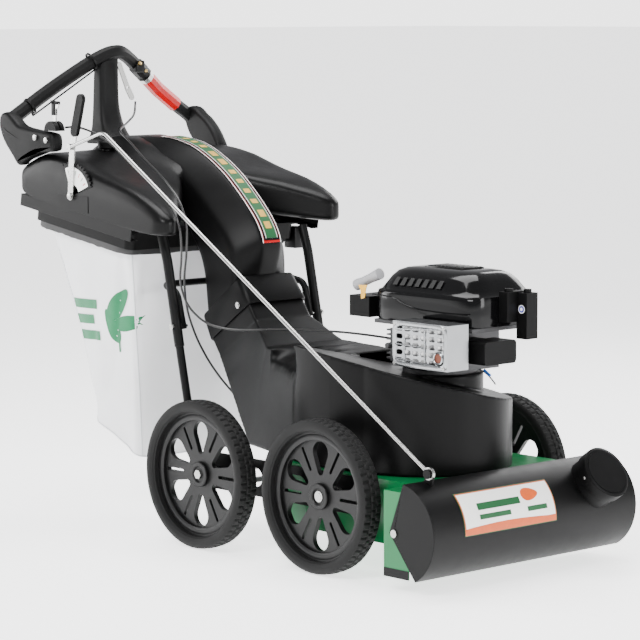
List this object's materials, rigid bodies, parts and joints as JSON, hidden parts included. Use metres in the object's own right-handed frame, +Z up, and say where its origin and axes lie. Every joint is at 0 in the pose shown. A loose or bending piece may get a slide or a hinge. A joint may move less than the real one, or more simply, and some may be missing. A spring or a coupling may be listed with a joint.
{
  "type": "walk-behind leaf vacuum mulcher",
  "caption": "Walk-behind engine-driven leaf vacuum: wide floor nozzle, scroll blower, rising chute and a hanging collection bag on a wheeled frame with an arched handle.",
  "frame": {"origin": "on the ground at the middle of the bounding box", "axes": "+X forward, the way the machine is pushed, +Y to the operator's left, +Z up"},
  "size_m": [1.8408, 0.744, 1.3221],
  "materials": {
    "green_paint": "gloss",
    "black_steel": "powder coat",
    "black_plastic": "fine texture",
    "wheel_plastic": "moulded",
    "tyre_rubber": "matt",
    "belt_rubber": "matt",
    "zinc": "zinc plated",
    "bare_steel": "machined",
    "brass": "machined",
    "cast_alloy": "as cast",
    "perforated_steel": "perforated sheet",
    "grey_plastic": "moulded",
    "bag_fabric": "woven felt",
    "handle_foam": "foam sleeve",
    "cable_black": "sheathed"
  },
  "bodies": {
    "chassis": {"green_base": "green_paint", "axle_plates": "black_steel", "axle_bushes": "black_plastic", "stub_axles": "zinc", "gearbox_case": "cast_alloy", "drive_belt": "belt_rubber", "scroll_housing": "black_plastic", "upper_chute": "black_plastic", "hopper": "black_plastic", "bag_rails": "black_steel", "lower_uprights": "black_steel", "upper_uprights": "black_steel", "frame_bolts": "zinc", "frame_hoop": "black_steel", "handle_shoulders": "black_plastic", "handle_bar": "handle_foam", "handle_post": "black_plastic", "throttle_housing": "black_plastic", "engine_crankcase": "cast_alloy", "engine_cylinder": "cast_alloy", "engine_shroud": "black_plastic", "shroud_cover": "black_plastic", "fuel_tank": "black_plastic", "muffler_guard": "perforated_steel", "muffler": "bare_steel", "air_cleaner": "black_plastic", "carburettor": "black_plastic", "nozzle_bolts": "zinc", "height_quadrant": "black_steel", "clutch_cable": "cable_black", "throttle_cable": "cable_black"},
    "rear_wheelset": {"drive_axle": "zinc", "axle_gear": "brass", "rear_left_rim": "wheel_plastic", "rear_left_tyre": "tyre_rubber", "rear_right_rim": "wheel_plastic", "rear_right_tyre": "tyre_rubber"},
    "worm": {"worm_shaft": "black_steel"},
    "front_left_wheel": {"front_left_rim": "wheel_plastic", "front_left_tyre": "tyre_rubber"},
    "front_right_wheel": {"front_right_rim": "wheel_plastic", "front_right_tyre": "tyre_rubber"},
    "impeller_shaft": {"crankshaft": "bare_steel", "flywheel": "cast_alloy", "impeller": "black_steel", "shaft_bolt": "zinc"},
    "nozzle": {"nozzle_hood": "black_steel", "nozzle_ends": "black_steel", "hose_port": "black_plastic"},
    "port_cap_body": {"port_cap": "black_plastic"},
    "height_lever_body": {"height_lever": "zinc", "lever_grip": "black_plastic"},
    "height_rod_body": {"height_rod": "zinc"},
    "throttle_body": {"throttle_lever": "zinc"},
    "bail_body": {"drive_bail": "black_steel"},
    "bellcrank_body": {"bellcrank": "zinc"},
    "recoil_body": {"recoil_grip": "grey_plastic"},
    "fuel_cap_body": {"fuel_cap": "black_plastic"},
    "bag_body": {"bag_collar": "black_plastic", "bag": "bag_fabric"}
  },
  "joints": [
    {"name": "rear_axle", "type": "hinge", "parent": "chassis", "child": "rear_wheelset", "pos_m": [-0.0424, 0, 0.198], "axis": [0, 1, 0], "continuous": true},
    {"name": "worm_spin", "type": "hinge", "parent": "chassis", "child": "worm", "pos_m": [-0.0129, 0, 0.2], "axis": [0, 0, 1], "continuous": true},
    {"name": "front_left_axle", "type": "hinge", "parent": "chassis", "child": "front_left_wheel", "pos_m": [0.4256, 0.3405, 0.198], "axis": [0, 1, 0], "continuous": true},
    {"name": "front_right_axle", "type": "hinge", "parent": "chassis", "child": "front_right_wheel", "pos_m": [0.4256, -0.3405, 0.198], "axis": [0, 1, 0], "continuous": true},
    {"name": "engine_spin", "type": "hinge", "parent": "chassis", "child": "impeller_shaft", "pos_m": [0.5106, 0, 0.4], "axis": [0, 0, 1], "continuous": true},
    {"name": "height_adjust", "type": "hinge", "parent": "chassis", "child": "height_lever_body", "pos_m": [-0.5774, -0.3505, 0.909], "axis": [0, 1, 0], "range_deg": [-18, 22]},
    {"name": "rod_end", "type": "hinge", "parent": "height_lever_body", "child": "height_rod_body", "pos_m": [-0.5674, -0.35, 1.045], "axis": [0, 1, 0], "range_deg": [-24, 20]},
    {"name": "nozzle_tilt", "type": "hinge", "parent": "chassis", "child": "nozzle", "pos_m": [0.7226, 0, 0.147], "axis": [0, 1, 0], "range_deg": [-16, 19]},
    {"name": "port_cap_pull", "type": "slide", "parent": "nozzle", "child": "port_cap_body", "axis": [0.8192, 0, 0.5736], "range_m": [0, 0.35]},
    {"name": "throttle", "type": "hinge", "parent": "chassis", "child": "throttle_body", "pos_m": [-0.6604, -0.34, 1.1], "axis": [0, 1, 0], "range_deg": [-25, 25]},
    {"name": "drive_bail", "type": "hinge", "parent": "chassis", "child": "bail_body", "pos_m": [-0.8994, -0.34, 1.092], "axis": [0.213, 0.8048, 0.5539], "range_deg": [0, 25], "stiffness_Nm_per_rad": 0.6},
    {"name": "bellcrank_turn", "type": "hinge", "parent": "chassis", "child": "bellcrank_body", "pos_m": [-0.7844, 0.018, 1.196], "axis": [1, 0, 0], "range_deg": [0, 20]},
    {"name": "recoil_pull", "type": "slide", "parent": "chassis", "child": "recoil_body", "axis": [-0.9333, 0, 0.359], "range_m": [0, 0.35], "stiffness_N_per_m": 12},
    {"name": "fuel_cap_turn", "type": "hinge", "parent": "chassis", "child": "fuel_cap_body", "pos_m": [0.3126, 0.06, 0.694], "axis": [0, 0, 1], "range_deg": [0, 90]},
    {"name": "bag_slide", "type": "slide", "parent": "chassis", "child": "bag_body", "axis": [-0.9888, 0, 0.1495], "range_m": [0, 0.45]}
  ],
  "couplings": [
    {"joint": "nozzle_tilt", "follows": "height_adjust", "ratio": 0.785},
    {"joint": "rod_end", "follows": "height_adjust", "ratio": -0.9725},
    {"joint": "worm_spin", "follows": "rear_axle", "ratio": 12},
    {"joint": "bellcrank_turn", "follows": "drive_bail", "ratio": 0.8}
  ]
}
